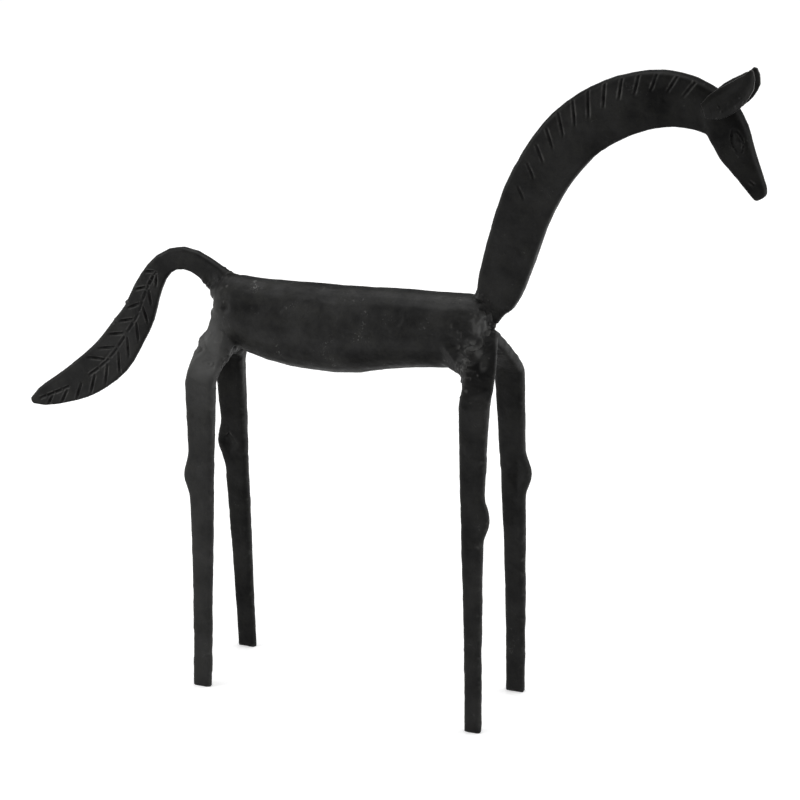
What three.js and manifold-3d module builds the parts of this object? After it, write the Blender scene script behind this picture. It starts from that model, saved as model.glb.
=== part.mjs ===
// Iron horse sculpture: a standing horse forged from flat bars welded to a full round body.
//
// Lengths are millimetres. +X runs to the head, +Z up and +Y to the horse's left.
// The origin lies on the floor, under the middle of the box round the whole horse.
//
// The horse is seven pieces: the body, the neck and head in one bar, two leaf-shaped ears,
// the tail, and two bars that are each bent over into an arch, one for the fore legs and
// one for the hind legs. The weld metal at the seams belongs to the body.

import * as THREE from "three";
import { mergeVertices } from "three/addons/utils/BufferGeometryUtils.js";
import Module from "manifold-3d";

const wasm = await Module();
wasm.setup();

// Driving dimensions.

const HEIGHT = 421.6; // floor to the tips of the ears; the pose is drawn in hundredths of it
const BODY_LENGTH = 175;
const BODY_DEPTH = 53.8; // greatest height of the body's section
const BODY_WIDTH = 43; // greatest width of the body's section

const FOOT_SPAN = 181; // hind feet to fore feet, centre to centre
const FOOT_TRACK = 66.9; // left feet to right feet, centre to centre
const LEG_FOOT_WIDTH = 12; // broad face of the leg bar at the floor
const LEG_TOP_WIDTH = 18.6; // broad face where the bar turns in
const LEG_FOOT_THICKNESS = 5.2;
const HIND_TOP_THICKNESS = 9.2;
const FORE_TOP_THICKNESS = 7.2;
const HIND_ARCH_TRACK = 43; // between the middles of the hind bar's two sides where it turns in
const FORE_ARCH_TRACK = 58;
const HIND_ARCH_RISE = 19.5; // from where the hind bar turns in to the top of its arch
const FORE_ARCH_RISE = 32;
const KNEE_SWELL = 3.8; // how far a knee or hock stands out from the bar's narrow face
const KNEE_LENGTH = 32;
const KNEE_HOLLOW_DEPTH = 1.8; // hammered hollow on the inner face
const KNEE_HOLLOW_WIDTH = 14;
const KNEE_HOLLOW_LENGTH = 23;

const NECK_WIDTH = 34.4; // broadest, at the crest's turn
const NECK_THICKNESS = 10.5;
const HEAD_LENGTH = 67.4;
const HEAD_DEPTH = 24.2; // forehead to jaw
const HEAD_THICKNESS = 15.4;
const EYE_LENGTH = 15.4;
const EYE_BREADTH = 7;
const EYE_DEPTH = 2.1;
const NOSTRIL_LENGTH = 3.2;
const EAR_LENGTH = 44;
const EAR_WIDTH = 16.6;
const EAR_THICKNESS = 1.9;
const EAR_CUP = 3.4; // how deep the leaf is dished

const TAIL_WIDTH = 25.4;
const TAIL_THICKNESS = 6.2;

const BAR_EDGE_RADIUS = 1.9; // rounding that the hammer leaves on the edges of legs and tail
const NECK_EDGE_RADIUS = 2.6;
const CHISEL_WIDTH = 1.5; // mouth of a chisel cut
const CHISEL_DEPTH = 1.0;
const MANE_CUTS = 13; // cuts on each side of the crest
const TAIL_UPPER_CUTS = 7;
const TAIL_LOWER_CUTS = 11;
const WELD_RADIUS = 6; // mean radius of the lumps of weld metal
const SEAM = 0.3; // clearance left between two pieces that meet at a weld

// Pose.

const share = HEIGHT / 100; // one hundredth of the height
const bodyRear = -BODY_LENGTH / 2 - 0.7 * share;
const bodyFront = bodyRear + BODY_LENGTH;

const X = new THREE.Vector3(1, 0, 0);
const Y = new THREE.Vector3(0, 1, 0);
const Z = new THREE.Vector3(0, 0, 1);
const SIDES = [-1, 1]; // the horse's right side, along -Y, and its left side
const { lerp, degToRad } = THREE.MathUtils;

// Solids.

// Merges a closed geometry's corners and hands it over for joining and cutting.
function solidOf(geometry) {
  const bare = geometry.clone();
  bare.deleteAttribute("normal");
  bare.deleteAttribute("uv");
  const merged = mergeVertices(bare, 1e-4);
  return new wasm.Manifold(new wasm.Mesh({
    numProp: 3,
    vertProperties: new Float32Array(merged.attributes.position.array),
    triVerts: new Uint32Array(merged.index.array),
  }));
}

function geometryOf(solid) {
  const mesh = solid.getMesh();
  const geometry = new THREE.BufferGeometry();
  geometry.setAttribute("position", new THREE.BufferAttribute(mesh.vertProperties, 3));
  geometry.setIndex(new THREE.BufferAttribute(mesh.triVerts, 1));
  geometry.computeVertexNormals();
  return geometry;
}

// Skins a row of rings that have equally many points and closes both ends with a fan.
// Each ring runs anticlockwise as seen by someone whom the row comes towards.
function loft(rings) {
  const count = rings[0].length;
  const corners = rings.flat();
  const faces = [];
  for (let r = 0; r + 1 < rings.length; r += 1) {
    for (let i = 0; i < count; i += 1) {
      const a = r * count + i;
      const b = r * count + (i + 1) % count;
      faces.push(a, b, b + count, a, b + count, a + count);
    }
  }
  const middleOf = (ring) => ring.reduce((sum, p) => sum.add(p), new THREE.Vector3()).divideScalar(count);
  const first = corners.push(middleOf(rings[0])) - 1;
  const last = corners.push(middleOf(rings[rings.length - 1])) - 1;
  const lastRing = (rings.length - 1) * count;
  for (let i = 0; i < count; i += 1) {
    const next = (i + 1) % count;
    faces.push(first, next, i, last, lastRing + i, lastRing + next);
  }
  const geometry = new THREE.BufferGeometry().setFromPoints(corners);
  geometry.setIndex(faces);
  return solidOf(geometry);
}

// The section of a bar: a rectangle with rounded corners, each of `EDGE_POINTS` points.
// `across` points over the bar's width and `through` over its thickness.
const EDGE_POINTS = 3;

function barRing({ centre, across, through, halfWidth, halfThickness, edge }) {
  const ring = [];
  const radius = Math.min(edge, 0.95 * halfWidth, 0.95 * halfThickness);
  for (let corner = 0; corner < 4; corner += 1) {
    const widthSide = corner === 0 || corner === 3 ? 1 : -1;
    const thicknessSide = corner < 2 ? 1 : -1;
    for (let k = 0; k < EDGE_POINTS; k += 1) {
      const angle = (corner + k / (EDGE_POINTS - 1)) * Math.PI / 2;
      const w = widthSide * (halfWidth - radius) + Math.cos(angle) * radius;
      const t = thicknessSide * (halfThickness - radius) + Math.sin(angle) * radius;
      ring.push(centre.clone().addScaledVector(across, w).addScaledVector(through, t));
    }
  }
  return ring;
}

// The section of a rounder form: a superellipse, fuller than an ellipse as `power` grows.
function roundRing({ centre, across, through, halfWidth, halfThickness, power, points }) {
  const ring = [];
  const bulge = (value) => Math.sign(value) * Math.abs(value) ** (2 / power);
  for (let i = 0; i < points; i += 1) {
    const angle = i / points * 2 * Math.PI;
    const w = halfWidth * bulge(Math.cos(angle));
    const t = halfThickness * bulge(Math.sin(angle));
    ring.push(centre.clone().addScaledVector(across, w).addScaledVector(through, t));
  }
  return ring;
}

// A smooth value through evenly spaced knots, for u from 0 to 1.
function smooth(knots, u) {
  const curve = new THREE.SplineCurve(knots.map((value, i) => new THREE.Vector2(i, value)));
  return curve.getPoint(u).y;
}

// A flat piece's run in the upright middle plane, as a function of the share of its length.
// A row is [x, z, half width]: x and z in hundredths of the height, x from `root`, and the
// half width as a share of `width`.
function flatRun(rows, root, width) {
  const line = new THREE.CatmullRomCurve3(
    rows.map(([x, z]) => new THREE.Vector3(root + x * share, 0, z * share)),
  );
  const halves = rows.map((row) => row[2] * width);
  return (u) => {
    const t = line.getUtoTmapping(u, 0);
    const along = line.getTangent(t).normalize();
    const across = new THREE.Vector3(-along.z, 0, along.x);
    return { centre: line.getPoint(t), along, across, halfWidth: smooth(halves, t) };
  };
}

// A bar skinned along a flat run, its start drawn back by `grow` and its faces moved out by it.
function barAlong(run, steps, halfThicknessAt, edge, grow) {
  const rings = [];
  for (let i = 0; i <= steps; i += 1) {
    const station = run(i / steps);
    if (i === 0) {
      station.centre.addScaledVector(station.along, -grow);
    }
    rings.push(barRing({
      ...station,
      through: Y.clone().negate(),
      halfWidth: station.halfWidth + grow,
      halfThickness: halfThicknessAt(i / steps) + grow,
      edge: edge + grow,
    }));
  }
  return loft(rings);
}

// A chisel cut: a narrow boat-shaped groove from one point to the other on a face that
// looks along `outward`.
function chiselCut(from, to, outward) {
  const run = new THREE.Vector3().subVectors(to, from);
  const across = new THREE.Vector3().crossVectors(outward, run).normalize();
  const frame = new THREE.Matrix4().makeBasis(
    run.clone().multiplyScalar(0.5),
    across.multiplyScalar(CHISEL_WIDTH / 2),
    outward.clone().multiplyScalar(CHISEL_DEPTH),
  );
  frame.setPosition(new THREE.Vector3().addVectors(from, to).multiplyScalar(0.5));
  return solidOf(new THREE.OctahedronGeometry(1).applyMatrix4(frame));
}

// An egg-shaped lump with its half sizes along X, Y and Z, as round as `detail` makes it.
function lump(centre, halves, detail = 1) {
  const geometry = new THREE.IcosahedronGeometry(1, detail);
  geometry.scale(...halves);
  geometry.translate(...centre);
  return solidOf(geometry);
}

// The body.

const BODY_STATIONS = 17;
const BODY_POINTS = 22; // points round a section
const BODY_FULLNESS = 2.15; // power of the section's superellipse

// The body's middle height and half sizes at a share of its length, 0 at the rump.
// The rump is blunt and the chest nearly flat.
function bodyAt(u) {
  const bluntness = u < 0.5 ? 6 : 11;
  const ends = (1 - Math.abs(2 * u - 1) ** bluntness) ** (1 / bluntness);
  return {
    x: bodyRear + u * BODY_LENGTH,
    z: share * smooth([56.65, 55.4, 55.15, 55.4, 56.5, 57.2, 57.7], u),
    halfDepth: BODY_DEPTH / 2 * ends * smooth([0.83, 0.92, 0.99, 1, 0.91, 0.85, 0.87], u),
    halfWidth: BODY_WIDTH / 2 * ends * smooth([0.8, 0.9, 0.97, 1, 0.98, 0.92, 0.8], u),
  };
}

function bodyForm() {
  const rings = [];
  const endSliver = 0.004; // share of the length left off each end, where the section closes
  for (let i = 0; i <= BODY_STATIONS; i += 1) {
    const evenly = 0.5 - 0.5 * Math.cos(Math.PI * i / BODY_STATIONS);
    const station = bodyAt(endSliver + (1 - 2 * endSliver) * evenly);
    rings.push(roundRing({
      centre: new THREE.Vector3(station.x, 0, station.z),
      across: Y,
      through: Z,
      halfWidth: station.halfWidth,
      halfThickness: station.halfDepth,
      power: BODY_FULLNESS,
      points: BODY_POINTS,
    }));
  }
  return loft(rings);
}

// Legs.

// A leg bar runs up one leg, over under the body and down the other. Each leg is given by
// its foot's place and share of the foot width, how slowly it broadens upwards, how far it
// bows and at what share of its height, how far below the other leg it turns in, how far its
// shoulder wraps round the body's end, and the height and size of its knee or hock. The bar
// thickens from the feet to its top, the later the larger `thickening` is.
const hindBar = {
  turnX: bodyRear - 0.75 * share,
  crownX: bodyRear + 0.3 * share,
  crownY: 0,
  crownZ: bodyAt(0.05).z - bodyAt(0.05).halfDepth - HIND_TOP_THICKNESS / 2 + 0.2 * share,
  topThickness: HIND_TOP_THICKNESS,
  thickening: 3,
  archTrack: HIND_ARCH_TRACK,
  archRise: HIND_ARCH_RISE,
  roundness: 0.92,
  tilt: 0.7,
  kneeSide: -1,
  right: {
    footX: -FOOT_SPAN / 2 + 0.15 * share,
    foot: 1,
    taper: 1.6,
    bow: 0.15 * share,
    bowPeak: 0.4,
    drop: 0,
    wrap: 0,
    knee: 32 * share,
    swell: 1,
  },
  left: {
    footX: -FOOT_SPAN / 2 + 0.1 * share,
    foot: 1,
    taper: 1.4,
    bow: 0.1 * share,
    bowPeak: 0.5,
    drop: 0,
    wrap: 0,
    knee: 33.2 * share,
    swell: 1,
  },
};

const foreBar = {
  turnX: bodyFront + 0.75 * share,
  crownX: bodyFront - 0.3 * share,
  crownY: -1.2 * share,
  crownZ: bodyAt(1).z - 0.1 * share,
  topThickness: FORE_TOP_THICKNESS,
  thickening: 2,
  archTrack: FORE_ARCH_TRACK,
  archRise: FORE_ARCH_RISE,
  roundness: 1.75,
  tilt: 0,
  kneeSide: 1,
  right: {
    footX: FOOT_SPAN / 2 - 0.1 * share,
    foot: 0.9,
    taper: 1.9,
    bow: -0.22 * share,
    bowPeak: 0.7,
    drop: 1.2 * share,
    wrap: 0.55,
    knee: 32.2 * share,
    swell: 1,
  },
  left: {
    footX: FOOT_SPAN / 2 + 0.3 * share,
    foot: 1,
    taper: 1.5,
    bow: 0.32 * share,
    bowPeak: 0.45,
    drop: 0,
    wrap: 0,
    knee: 34.4 * share,
    swell: 1.12,
  },
};

function legOf(bar, side) {
  return side < 0 ? bar.right : bar.left;
}

function turnHeight(bar, side) {
  return bar.crownZ - bar.archRise - legOf(bar, side).drop;
}

// The middle and the size of a leg's section at a height.
function legAt(bar, side, z) {
  const leg = legOf(bar, side);
  const rise = z / turnHeight(bar, side);
  const fromKnee = Math.min(1, Math.abs(z - leg.knee) / (KNEE_LENGTH / 2));
  const swell = leg.swell * KNEE_SWELL * Math.cos(Math.PI / 2 * fromKnee) ** 2;
  const bow = leg.bow * Math.sin(Math.PI * rise ** (Math.log(0.5) / Math.log(leg.bowPeak)));
  return {
    centre: new THREE.Vector3(
      lerp(leg.footX, bar.turnX, rise) + bow + bar.kneeSide * swell / 2,
      side * lerp(FOOT_TRACK, bar.archTrack, rise) / 2,
      z,
    ),
    width: lerp(LEG_FOOT_WIDTH * leg.foot, LEG_TOP_WIDTH, rise ** leg.taper) + swell,
    thickness: lerp(LEG_FOOT_THICKNESS, bar.topThickness, rise ** bar.thickening) - 0.25 * swell,
  };
}

// The heights of a leg's sections: few below and above, and close together at the knee.
function legHeights(bar, side) {
  const { knee } = legOf(bar, side);
  const turn = turnHeight(bar, side);
  const heights = [0, 0.15 * turn, 0.32 * turn, 0.5 * turn];
  const kneeSteps = 8;
  for (let k = 0; k <= kneeSteps; k += 1) {
    heights.push(knee + (k / kneeSteps - 0.5) * KNEE_LENGTH);
  }
  heights.push(0.94 * turn, turn);
  return heights;
}

// A point on the arch over the legs, for an angle from 0 on the right side to pi on the left.
function archAt(bar, angle) {
  const side = Math.cos(angle) < 0 ? 1 : -1;
  const out = Math.abs(Math.cos(angle)) ** bar.roundness;
  const rise = Math.sin(angle) ** bar.roundness;
  return new THREE.Vector3(
    lerp(bar.turnX, bar.crownX, rise),
    lerp(bar.crownY, side * bar.archTrack / 2, out),
    lerp(turnHeight(bar, side), bar.crownZ, rise),
  );
}

function legBar(bar, grow) {
  const section = (centre, along, twist, width, thickness) => {
    const level = new THREE.Vector3().crossVectors(along, X).normalize();
    const across = X.clone().multiplyScalar(Math.cos(twist)).addScaledVector(level, Math.sin(twist));
    return barRing({
      centre,
      across,
      through: new THREE.Vector3().crossVectors(along, across),
      halfWidth: width / 2 + grow,
      halfThickness: thickness / 2 + grow,
      edge: BAR_EDGE_RADIUS + grow,
    });
  };

  // A leg's sections from the foot up. The foot is cut level, so that it stands flat.
  const legSections = (side) => {
    const slope = (FOOT_TRACK - bar.archTrack) / 2 / turnHeight(bar, side);
    return legHeights(bar, side).map((z) => {
      const { centre, width, thickness } = legAt(bar, side, z);
      const up = z === 0 ? Z.clone() : new THREE.Vector3(0, -side * slope, 1).normalize();
      return section(centre, up.multiplyScalar(-side), 0, width, thickness);
    });
  };

  const archSections = [];
  const archSteps = 12;
  for (let k = 1; k < archSteps; k += 1) {
    const angle = Math.PI * k / archSteps;
    const along = archAt(bar, angle + 0.02).sub(archAt(bar, angle - 0.02)).setX(0).normalize();
    const { wrap } = legOf(bar, Math.cos(angle) < 0 ? 1 : -1);
    const shoulder = Math.sin(2 * angle) ** 2;
    const twist = bar.tilt * Math.sin(angle) ** 2 + wrap * shoulder;
    const centre = archAt(bar, angle);
    centre.x += wrap * shoulder * LEG_TOP_WIDTH / 6;
    archSections.push(section(centre, along, twist, LEG_TOP_WIDTH, bar.topThickness));
  }

  return loft([...legSections(-1), ...archSections, ...legSections(1).reverse()]);
}

// Cuts a hammered hollow of four flat facets into the inner face of each knee.
function cutKnees(solid, bar) {
  return SIDES.reduce((cut, side) => {
    const { centre, thickness } = legAt(bar, side, legOf(bar, side).knee);
    centre.x += bar.kneeSide * KNEE_SWELL / 4;
    centre.y -= side * thickness / 2;
    const hollow = new THREE.OctahedronGeometry(1)
      .scale(KNEE_HOLLOW_WIDTH / 2, KNEE_HOLLOW_DEPTH, KNEE_HOLLOW_LENGTH / 2)
      .translate(...centre);
    return cut.subtract(solidOf(hollow));
  }, solid);
}

// Neck and head.

const neckRun = flatRun([
  [0.55, 59.2, 0.11],
  [0.75, 61.4, 0.265],
  [1.6, 63.8, 0.385],
  [3.1, 68.8, 0.44],
  [5.6, 76.8, 0.47],
  [8.7, 83.0, 0.49],
  [13.3, 88.8, 0.51],
  [19.4, 92.7, 0.505],
  [25.3, 94.4, 0.475],
  [29.1, 94.2, 0.435],
  [32.6, 93.1, 0.37],
], bodyFront, NECK_WIDTH);
const NECK_STATIONS = 29;

// The bar is drawn down thin at its toe, which is welded to the chest.
function neckForm(grow) {
  const halfThicknessAt = (u) => NECK_THICKNESS / 2 * Math.min(1, 0.45 + 8 * u);
  return barAlong(neckRun, NECK_STATIONS, halfThicknessAt, NECK_EDGE_RADIUS, grow);
}

const headAngle = degToRad(-60);
const headAlong = new THREE.Vector3(Math.cos(headAngle), 0, Math.sin(headAngle));
const headAcross = new THREE.Vector3(-headAlong.z, 0, headAlong.x);
const poll = new THREE.Vector3(bodyFront + 32.85 * share, 0, 93.65 * share);
const POLL_SHARE = 0.16; // the poll's place on the head, as a share of its length

// A point on the head: `down` of its length from the top, and `out` of its depth towards the face.
function headPoint(down, out, y) {
  return poll.clone()
    .addScaledVector(headAlong, (down - POLL_SHARE) * HEAD_LENGTH)
    .addScaledVector(headAcross, out * HEAD_DEPTH)
    .setY(y);
}

// Rows down the head: [share of its length, middle line, half depth, half thickness].
const headRows = [
  [0, 0.02, 0.22, 0.2],
  [0.06, 0.0, 0.38, 0.36],
  [0.16, 0.0, 0.48, 0.45],
  [0.28, 0.0, 0.5, 0.49],
  [0.4, -0.01, 0.49, 0.5],
  [0.54, -0.045, 0.44, 0.47],
  [0.68, -0.035, 0.355, 0.4],
  [0.82, -0.025, 0.28, 0.335],
  [0.93, -0.02, 0.225, 0.3],
  [0.985, -0.035, 0.17, 0.25],
  [1, -0.045, 0.11, 0.19],
];
const HEAD_FULLNESS = 2.9;
const HEAD_POINTS = 18;

function headForm(grow) {
  return loft(headRows.map(([down, middle, depth, thickness]) => roundRing({
    centre: headPoint(down, middle, 0),
    across: headAcross,
    through: Y.clone().negate(),
    halfWidth: depth * HEAD_DEPTH + grow,
    halfThickness: thickness * HEAD_THICKNESS + grow,
    power: HEAD_FULLNESS,
    points: HEAD_POINTS,
  })));
}

function neckAndHeadForm(grow) {
  return neckForm(grow).add(headForm(grow));
}

// The mane: a row of cuts on both faces that start near the crest and lean back towards the
// body. The lowest start well inside it. They are longest halfway up and shorten to the poll.
const MANE_START_SHARE = 0.389; // first and last cut, along the neck
const MANE_END_SHARE = 0.935;
const MANE_LEAN_FIRST = degToRad(52); // from the neck's run to the first and the last cut
const MANE_LEAN_LAST = degToRad(65);
const MANE_STARTS = [0.55, 0.74, 0.88, 0.97, 0.93, 0.95, 0.97]; // shares of the neck's half width
const MANE_LENGTHS = [0.28, 0.37, 0.46, 0.53, 0.43, 0.36, 0.4]; // shares of the neck's width

function cutMane(solid) {
  let cut = solid;
  for (let i = 0; i < MANE_CUTS; i += 1) {
    const row = i / (MANE_CUTS - 1);
    const station = neckRun(lerp(MANE_START_SHARE, MANE_END_SHARE, row ** 0.86));
    const lean = lerp(MANE_LEAN_FIRST, MANE_LEAN_LAST, Math.sqrt(row));
    const inward = station.across.clone().multiplyScalar(-Math.sin(lean))
      .addScaledVector(station.along, -Math.cos(lean));
    SIDES.forEach((side) => {
      const from = station.centre.clone()
        .addScaledVector(station.across, station.halfWidth * smooth(MANE_STARTS, row))
        .setY(side * NECK_THICKNESS / 2);
      const to = from.clone().addScaledVector(inward, NECK_WIDTH * smooth(MANE_LENGTHS, row));
      cut = cut.subtract(chiselCut(from, to, Y.clone().multiplyScalar(side)));
    });
  }
  return cut;
}

// Eyes and nostrils: an almond sunk into the cheek with the eyeball left standing in it,
// and one short cut above the muzzle. The eyeball is smaller than the almond by these shares.
const EYE_LEAN = degToRad(12); // from the head's run to the eye's corners
const EYEBALL_LENGTH_SHARE = 0.82;
const EYEBALL_BREADTH_SHARE = 0.69;
const EYEBALL_BULGE_SHARE = 0.75;
const EYEBALL_SINK_SHARE = 0.45;

function cutFace(solid) {
  const turn = new THREE.Matrix4().makeRotationY(-headAngle + EYE_LEAN);
  const almond = (centre, length, depth, breadth) => {
    const geometry = new THREE.IcosahedronGeometry(1, 1).scale(length / 2, depth, breadth / 2);
    return solidOf(geometry.applyMatrix4(turn).translate(centre.x, centre.y, centre.z));
  };
  return SIDES.reduce((face, side) => {
    const eye = headPoint(0.46, 0.2, side * 0.47 * HEAD_THICKNESS);
    const eyeball = eye.clone().addScaledVector(Y, -side * EYEBALL_SINK_SHARE * EYE_DEPTH);
    const nostril = headPoint(0.9, 0.06, side * 0.31 * HEAD_THICKNESS);
    const reach = headAcross.clone().multiplyScalar(NOSTRIL_LENGTH / 2);
    const outward = Y.clone().multiplyScalar(side);
    const nostrilCut = chiselCut(nostril.clone().sub(reach), nostril.clone().add(reach), outward);
    const ball = almond(
      eyeball,
      EYEBALL_LENGTH_SHARE * EYE_LENGTH,
      EYEBALL_BULGE_SHARE * EYE_DEPTH,
      EYEBALL_BREADTH_SHARE * EYE_BREADTH,
    );
    return face.subtract(almond(eye, EYE_LENGTH, EYE_DEPTH, EYE_BREADTH)).add(ball).subtract(nostrilCut);
  }, solid);
}

// Ears.

// The ear's middle line from root to tip: x and z from the poll in ear lengths, and y as a
// share of the ear's distance from the middle plane at its root.
const earRows = [
  [-0.14, 0.02, 1],
  [-0.06, 0.05, 1],
  [0.05, 0.11, 0.97],
  [0.19, 0.2, 0.85],
  [0.335, 0.325, 0.64],
  [0.43, 0.455, 0.46],
  [0.465, 0.59, 0.36],
];
const EAR_ROOT_SHARE = 0.41; // the root's distance from the middle plane, in head thicknesses
const EAR_STATIONS = 10;
const EAR_FACETS = 5; // flat facets over the leaf's width

// A dished leaf that stands on the side of the poll, hollow side out.
function earForm(side) {
  const line = new THREE.CatmullRomCurve3(earRows.map(([x, z, y]) => new THREE.Vector3(
    poll.x + x * EAR_LENGTH,
    side * y * EAR_ROOT_SHARE * HEAD_THICKNESS,
    poll.z + z * EAR_LENGTH,
  )));
  const rings = [];
  for (let i = 0; i <= EAR_STATIONS; i += 1) {
    const u = i / EAR_STATIONS;
    const along = line.getTangentAt(u);
    const across = new THREE.Vector3(-along.z, 0, along.x).normalize();
    const fullness = smooth([0.5, 0.84, 0.98, 0.96, 0.82, 0.6, 0.12], u);
    const rim = (w, face) => line.getPointAt(u)
      .addScaledVector(across, w * fullness * EAR_WIDTH / 2)
      .addScaledVector(Y, side * (EAR_CUP * fullness * w * w + face * EAR_THICKNESS));
    const ring = [];
    for (let k = 0; k <= EAR_FACETS; k += 1) {
      ring.push(rim(-1 + 2 * k / EAR_FACETS, 0));
    }
    for (let k = EAR_FACETS; k >= 0; k -= 1) {
      ring.push(rim(-1 + 2 * k / EAR_FACETS, 1));
    }
    rings.push(side < 0 ? ring : ring.reverse());
  }
  return loft(rings);
}

// The tail.

const tailRun = flatRun([
  [0.9, 59.9, 0.3],
  [-1.0, 61.2, 0.285],
  [-4.6, 62.8, 0.275],
  [-7.4, 62.4, 0.27],
  [-9.55, 60.55, 0.285],
  [-11.45, 57.1, 0.35],
  [-12.88, 53.3, 0.415],
  [-14.5, 50.65, 0.46],
  [-17.5, 46.2, 0.515],
  [-22.45, 41.97, 0.465],
  [-27.75, 39.0, 0.3],
  [-30.1, 37.85, 0.18],
  [-30.8, 37.5, 0.09],
], bodyRear, TAIL_WIDTH);
const TAIL_STATIONS = 25;

function tailHalfThickness(u) {
  return TAIL_THICKNESS / 2 * (1 - 0.35 * u * u);
}

function tailForm(grow) {
  return barAlong(tailRun, TAIL_STATIONS, tailHalfThickness, BAR_EDGE_RADIUS, grow);
}

// A feather of chisel cuts on both faces: a spine down the middle, and short cuts beside it
// that run outwards and towards the tip. It begins and ends at these shares of the tail.
const FEATHER_START_SHARE = 0.272;
const FEATHER_END_SHARE = 0.966;
const SPINE_STROKES = [[0, 0.11], [0.115, 0.36], [0.385, 0.69], [0.81, 1]]; // shares of the feather
const UPPER_CUT_LEAN = degToRad(46); // from the spine to a cut
const LOWER_CUT_LEAN = degToRad(35);
const CUT_START = 0.14; // ends of a cut, as shares of the tail's half width
const CUT_REACH = 0.82;

function cutTail(solid) {
  let cut = solid;
  const shareAt = (along) => lerp(FEATHER_START_SHARE, FEATHER_END_SHARE, along);
  SIDES.forEach((side) => {
    const engrave = (from, to) => {
      cut = cut.subtract(chiselCut(from, to, Y.clone().multiplyScalar(side)));
    };
    const spineAt = (along) => tailRun(shareAt(along)).centre.setY(side * tailHalfThickness(shareAt(along)));
    SPINE_STROKES.forEach(([from, to]) => engrave(spineAt(from), spineAt(to)));
    const rows = [[-1, TAIL_UPPER_CUTS, UPPER_CUT_LEAN], [1, TAIL_LOWER_CUTS, LOWER_CUT_LEAN]];
    rows.forEach(([edgeSide, count, lean]) => {
      for (let k = 0; k < count; k += 1) {
        const along = k / TAIL_LOWER_CUTS;
        const station = tailRun(shareAt(along));
        const direction = station.across.clone().multiplyScalar(edgeSide * Math.sin(lean))
          .addScaledVector(station.along, Math.cos(lean));
        const pointAt = (out) => spineAt(along)
          .addScaledVector(direction, out * station.halfWidth / Math.sin(lean));
        engrave(pointAt(CUT_START), pointAt(CUT_REACH));
      }
    });
  });
  return cut;
}

// Weld metal at the seams, as part of the body. A row has the lump's place and its half sizes,
// each as x, y, z. The place is given from the middle of the body's section at `u`: x as a
// multiple of the weld radius, y and z as shares of the section's half width and half depth.
// The half sizes are multiples of the weld radius.
function weldLumps(u, rows) {
  const section = bodyAt(u);
  return rows.map(([x, y, z, ...sizes]) => lump(
    [section.x + x * WELD_RADIUS, y * section.halfWidth, section.z + z * section.halfDepth],
    sizes.map((size) => size * WELD_RADIUS),
  ));
}

const chestWelds = weldLumps(0.95, [
  [0.76, 0, 0.18, 1.1, 2.0, 1.4],
  [0.97, 0, 1.03, 0.9, 1.3, 0.45],
  [0.62, -0.37, 0.42, 1.2, 1.3, 1.7],
  [0.62, 0.37, 0.42, 1.2, 1.3, 1.7],
  [1.3, -0.1, 0.2, 0.7, 0.7, 0.8],
]);

const rumpWelds = weldLumps(0.05, [
  [-0.62, 0, -0.43, 1.3, 1.9, 1],
  [-0.95, 0, -0.84, 1.05, 1.55, 0.85],
  [-1.32, -0.22, -0.14, 0.6, 1.3, 0.8],
  [-1.35, 0, 0.47, 0.85, 1.6, 0.95],
]);

// Weld metal drawn out flat between the body and a bar: the hull of balls of weld metal. A ball
// on the body is [u, y, z, radius], on its section at `u` by shares of the section's half width
// and half depth. The radii are multiples of the weld radius.
function ballOnBody(side, [u, y, z, radius]) {
  const section = bodyAt(u);
  const centre = [section.x, side * y * section.halfWidth, section.z + z * section.halfDepth];
  return lump(centre, Array(3).fill(radius * WELD_RADIUS), 0);
}

const WEB_STANDS_OUT = 0.8; // how far the ball in a bar's arch stands out of its outer face

// A ball in a bar's arch: [angle, shift along X as a share of the bar's width].
function ballOnArch(bar, side, [angle, shift]) {
  const centre = archAt(bar, side < 0 ? angle : Math.PI - angle);
  const outward = new THREE.Vector3(0, centre.y, centre.z - turnHeight(bar, side)).normalize();
  centre.addScaledVector(outward, WEB_STANDS_OUT).addScaledVector(X, shift * LEG_TOP_WIDTH);
  return lump(centre.toArray(), Array(3).fill(bar.topThickness / 2), 0);
}

function webs(bar, onBody, onArch) {
  return SIDES.map((side) => wasm.Manifold.hull([
    ...onBody.map((row) => ballOnBody(side, row)),
    ...onArch.map((row) => ballOnArch(bar, side, row)),
  ]));
}

const hipWebs = webs(hindBar, [
  [0.018, 0.5, -0.1, 0.6],
  [0.043, 0.78, -0.6, 0.75],
  [0.065, 0.55, -0.88, 0.45],
  [0.008, 0.28, -0.76, 0.3],
], [[0.8, -0.12], [0.8, 0.25], [1.15, 0.2]]);

const shoulderWebs = webs(foreBar, [
  [0.868, 0.76, 0.02, 0.7],
  [0.84, 0.52, -0.6, 0.45],
], [[0.7, -0.26], [1.05, -0.25]]);

// The web under the tail's root, between its lower edge and the rump.
function tailWeb() {
  const { centre, across, halfWidth } = tailRun(0.055);
  const below = centre.addScaledVector(across, halfWidth - 0.4 * WELD_RADIUS);
  return wasm.Manifold.hull([
    lump(below.toArray(), Array(3).fill(0.45 * WELD_RADIUS), 0),
    ballOnBody(1, [0.004, 0, 0.62, 0.5]),
    ballOnBody(1, [0.012, 0, 0.15, 0.6]),
  ]);
}

// Assembly.

function buildBody() {
  const welds = [...chestWelds, ...rumpWelds, ...hipWebs, ...shoulderWebs, tailWeb()];
  const full = welds.reduce((solid, weld) => solid.add(weld), bodyForm());
  return [
    legBar(hindBar, SEAM),
    legBar(foreBar, SEAM),
    neckAndHeadForm(SEAM),
    tailForm(SEAM),
  ].reduce((solid, neighbour) => solid.subtract(neighbour), full);
}

function buildEar(side) {
  return earForm(side).subtract(neckAndHeadForm(SEAM));
}

const blackIron = { color: 0x1b1b1a, roughness: 0.5, metalness: 0.85 };
const hammeredIron = { color: 0x20201e, roughness: 0.46, metalness: 0.85 };

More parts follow.
